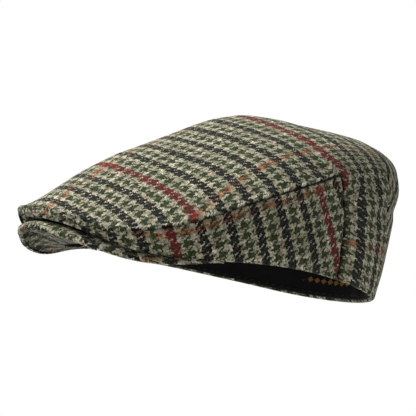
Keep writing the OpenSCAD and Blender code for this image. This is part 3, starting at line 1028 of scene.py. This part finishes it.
crown_sheet = lining_sheet(FULL_RING, np.linspace(0.503, 0.9995, 35), 61)
crown_lining = plain_piece("lining_crown", *crown_sheet, black_lining, "lining", "lining_top", closed=True)
side_linings = [
    plain_piece(f"lining_side_{name}", *lining_sheet(half, np.linspace(0, 0.497, 26), seed),
                black_lining, "lining", f"lining_{name}")
    for seed, (name, half) in enumerate(HALF_RINGS.items(), 62)
]
for name, half in HALF_RINGS.items():
    tape_sheet = lining_sheet(half, np.linspace(0.47, 0.53, 7), 64, LINING + GAP, 0)
    tape = plain_piece(f"seam_tape_{name}", *tape_sheet, black_tape, "tape", f"lining_seam_tape_{name}")


def band_point(angle, h, depth):
    return wall_point(angle, h, BAND_DEPTH + depth)


def sweatband_piece():
    """A doubled band with a rounded lower fold and a soft upper edge."""
    heights = np.concatenate([[1, 1.3, 1.8, 2.6], np.linspace(4, 28, 14), [29, 29.6, 30]]) * MM
    a, h = np.meshgrid(FULL_RING, heights)
    swell = 0.25 * MM * waves(polar(0.09, a, h), 30 * MM, 71) * eased((h - 2 * MM) / (10 * MM))
    ends = np.minimum(h - 1 * MM, BAND_HEIGHT - h)
    thick = BAND * np.sqrt(np.clip(ends / (0.8 * MM), 0.05, 1))
    middle = BAND / 2
    outer = band_point(a, h, 0)
    inward = unit(band_point(a, h, BAND) - outer)
    front = outer + scaled(middle - thick / 2 + swell, inward)
    back = outer + scaled(middle + thick / 2 + swell, inward)
    return plain_piece("sweatband_cloth", front, back, black_band, "sweatband", "sweatband", closed=True)


sweatband_piece()


def band_axes(angle, h, depth):
    """Place on the band's inner face, with the directions along it, up it and into the cap."""
    foot = band_point(angle, h, depth)
    up = unit(band_point(angle, h + 4 * MM, depth) - band_point(angle, h - 4 * MM, depth))
    along = band_point(angle + 1, h, depth) - band_point(angle - 1, h, depth)
    along = unit(along - up * (along @ up))
    return foot, along, up, np.cross(along, up)


def patch(name, angle, h, depth, width, height, thickness, material, slot, node):
    """Small flat piece of cloth on the band, with rounded corners and a slightly wavy face."""
    foot, along, up, inward = band_axes(angle, h, depth)
    grid = np.linspace(-1, 1, 17)
    gx, gy = np.meshgrid(grid, grid)
    corner = 1 - 0.06 * (gx * gy) ** 4
    px, py = gx * corner * width / 2, gy * corner * height / 2
    wave = 0.15 * MM * waves(point(px, py, 0), 9 * MM, 81)
    base = foot + scaled(px, along) + scaled(py, up)
    edge = np.sqrt(np.clip(1 - np.maximum(np.abs(gx), np.abs(gy)) ** 8, 0.08, 1))
    front = base + scaled(wave + thickness / 2 * edge, inward)
    back = base + scaled(wave - thickness / 2 * edge, inward)
    return plain_piece(name, front, back, material, slot, node)


join = patch("band_join", 180, BAND_HEIGHT / 2 + 1 * MM, BAND + 0.7 * MM, 9 * MM, BAND_HEIGHT - 3 * MM,
             0.6 * MM, black_band, "sweatband", "sweatband_back_join")
label = patch("blank_label", 166, BAND_HEIGHT - 9 * MM, BAND + 0.9 * MM, 12 * MM, 18 * MM,
              0.4 * MM, label_cloth, "label", "size_label")

# ---- Threads ----


def capsule(start, end, radius, lift, up, sides=8, rings=9):
    """Points and faces of one stitch: an arched tube whose ends dive into the cloth."""
    t = np.linspace(0, 1, rings)
    along = unit(end - start)
    beside = np.cross(up, along)
    line = start + scaled(t, end - start) + scaled(lift * (1 - (2 * t - 1) ** 4), up)
    fat = radius * np.sqrt(np.clip(1 - (2 * t - 1) ** 6, 0.03, 1))
    turn = np.linspace(0, 2 * math.pi, sides, endpoint=False)
    circle = scaled(np.cos(turn), beside) + scaled(np.sin(turn), up)
    points = line[:, None] + fat[:, None, None] * circle
    faces = quads(rings, sides, wrap_columns=True).tolist()
    faces.append(list(range(sides))[::-1])
    faces.append([(rings - 1) * sides + k for k in range(sides)])
    return points.reshape(-1, 3), faces, np.zeros((rings * sides, 3))


def stitches_piece(name, stitches, material, node):
    mesh = join_parts([capsule(*s) for s in stitches])[:2]
    return new_piece(name, mesh, material, node)


def crown_stitch(angle, w, turn, length, radius, lift):
    """One stitch on the crown, turned from the seam's direction."""
    round_it, up_it = crown_tangents(angle, w)
    normal = unit(np.cross(round_it, up_it))
    along = unit(round_it)
    up = unit(up_it - along * (up_it @ along))
    way = math.cos(turn) * along + math.sin(turn) * up
    sink = rolled(abs(w - 1) * np.linalg.norm(up_it)) if w > 1 else 0
    middle = crown(angle, w) + normal * (dented(crown(angle, w)) - 0.8 * sink)
    return middle - way * length / 2, middle + way * length / 2, radius, lift, normal


# Length, radius and lift of the stitches on the crown
SEAM_STITCH = np.array([3.0, 0.42, 0.35]) * MM
BACK_STITCH = np.array([2.6, 0.28, 0.15]) * MM


def seam_stitches(side):
    """Groups of three short pale stitches along the long seam."""
    found = []
    for k in range(11):
        angle = side * (14 + (BACK_SEAM - 22) * k / 10)
        found += [crown_stitch(angle + side * 0.9 * j, 1.02, 0.7 * side, *SEAM_STITCH) for j in range(3)]
    return found


for side, name in SIDES:
    stitches = seam_stitches(side)
    stitches_piece(f"seam_thread_{name}", stitches, seam_thread, f"seam_stitching_{name}")

back_stitches = [
    crown_stitch(side * (BACK_SEAM + 2.2), 0.06 + 0.86 * k / 20, math.pi / 2, *BACK_STITCH)
    for side, _ in SIDES
    for k in range(21)
]
stitches_piece("back_thread", back_stitches, olive_thread, "back_stitching")


def band_stitches():
    """Stitches round the band, 3 mm above its lower edge."""
    found = []
    for k in range(112):
        angle = -176 + 352 * k / 111
        start, end = (band_point(angle + half, 3 * MM, BAND + 0.15 * MM) for half in (-0.75, 0.75))
        inward = unit(band_point(angle, 3 * MM, BAND + 1 * MM) - start)
        found.append((start, end, 0.28 * MM, 0.2 * MM, inward))
    return found


stitches_piece("band_thread", band_stitches(), dark_thread, "sweatband_stitching")


def visor_stitches():
    """Stitches along the visor, at nine tenths of the way to its edge."""
    found = []
    for k in range(-30, 31):
        s = k / 32
        ends = [tucked(s, visor_point(s + half, 0.9)) for half in (-0.0105, 0.0105)]
        found.append((*ends, 0.26 * MM, 0.15 * MM, visor_frame(s, 0.9)[0]))
    return found


stitches_piece("visor_thread", visor_stitches(), olive_thread, "visor_stitching")


def tack_stitches():
    """Three stitches over the lower edge of the front fold."""
    found = []
    for angle in (-2, 0, 2):
        spot = crown(angle, 0.02) + point(0, -0.6, 0.4) * MM
        reach = point(1, 0, 0) * MM
        found.append((spot - reach, spot + reach, 0.35 * MM, 0.2 * MM, point(0, -1, 0)))
    return found


stitches_piece("front_thread", tack_stitches(), olive_thread, "front_tack")


# Half the height of a gold mark, and the distance between its threads
MARK_HALF = 2.1 * MM
MARK_PITCH = 0.42 * MM


def mark_stitches():
    """Row of nine small embroidered diamonds, 11 mm up the band."""
    found = []
    for k in range(9):
        foot, along, up, inward = band_axes(-173 + 2.9 * k, 11 * MM, BAND + 0.2 * MM)
        for j in range(-4, 5):
            half = MARK_HALF * (1 - abs(j) / 5)
            middle = foot + along * j * MARK_PITCH
            found.append((middle - up * half, middle + up * half, 0.26 * MM, 0.2 * MM, inward))
    return found


stitches_piece("gold_marks", mark_stitches(), gold_thread, "band_ornament")

# ---- The CAD node that stays, inside the cloth ----

interlining_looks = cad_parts["crown_interlining"].data.materials
interlining_looks.clear()
interlining_looks.append(felt)

# ---- Stage, light and camera ----

FLOOR_DROP = 0.36
FLOOR_HALF = 6.0
# Name, place, size and power of each light, and the place they face
LIGHTS = (
    ("overhead", (-0.6, -0.85, 1.5), 1.4, 46),
    ("front", (-0.9, -1.6, 0.6), 1.2, 7),
    ("rear", (0.9, 1.6, 0.5), 1.0, 6),
)
LIGHT_TARGET = np.array([0, 0, 0.05])


def stage_floor():
    half, z = FLOOR_HALF, -FLOOR_DROP
    corners = [(-half, -half, z), (half, -half, z), (half, half, z), (-half, half, z)]
    floor = new_object("floor", corners, [(0, 1, 2, 3)])
    floor.data.materials.append(Nodes("pale_floor").finish((0.72, 0.72, 0.72, 1), 0.9))


def area_light(name, place, size, power):
    light = bpy.data.lights.new(name, "AREA")
    light.shape = "SQUARE"
    light.size = size
    light.energy = power
    aim(linked(name, light), unit(LIGHT_TARGET - place), np.array([0, 0, 1.0]), place)


def aim(obj, forward, up, place):
    """Turn an object so that its -Z looks forward and its +Y is up."""
    back = -forward
    right = unit(np.cross(up, back))
    true_up = np.cross(back, right)
    rows = [[right[i], true_up[i], back[i]] for i in range(3)]
    obj.matrix_world = Matrix.Translation(Vector(place)) @ Matrix(rows).to_4x4()


FILL_STRENGTH = 0.13


def world_light():
    world = bpy.data.worlds.new("studio")
    bpy.context.scene.world = world
    world.use_nodes = True
    tree = world.node_tree
    strength = tree.nodes.new("ShaderNodeMapRange")
    tree.links.new(tree.nodes.new("ShaderNodeLightPath").outputs["Is Camera Ray"], strength.inputs["Value"])
    strength.inputs["To Min"].default_value = FILL_STRENGTH
    background = tree.nodes["Background"]
    background.inputs["Color"].default_value = (1, 1, 1, 1)
    tree.links.new(strength.outputs[0], background.inputs["Strength"])


CAMERA_AZIMUTH = math.radians(60.3)
CAMERA_ELEVATION = math.radians(-4.78)
CAMERA_ROLL = math.radians(7.33)
CAMERA_DISTANCE = 2164 * MM
CAMERA_TARGET = np.array([0, -15, 50]) * MM
CAMERA_SHIFT = (0.0307, -0.0474)
SENSOR = 36.0
LENS = 303.4


def camera():
    a, e, r = CAMERA_AZIMUTH, CAMERA_ELEVATION, CAMERA_ROLL
    back = np.array([math.sin(a) * math.cos(e), -math.cos(a) * math.cos(e), math.sin(e)])
    level = np.array([math.cos(a), math.sin(a), 0])
    upright = np.cross(back, level)
    up = upright * math.cos(r) - level * math.sin(r)
    data = bpy.data.cameras.new("camera")
    data.lens = LENS
    data.sensor_width = SENSOR
    data.clip_end = 20
    data.shift_x, data.shift_y = CAMERA_SHIFT
    obj = linked("camera", data)
    aim(obj, -back, up, CAMERA_TARGET + back * CAMERA_DISTANCE)
    bpy.context.scene.camera = obj


stage_floor()
world_light()
for light in LIGHTS:
    area_light(*light)
camera()
bpy.context.scene.view_settings.view_transform = "Standard"
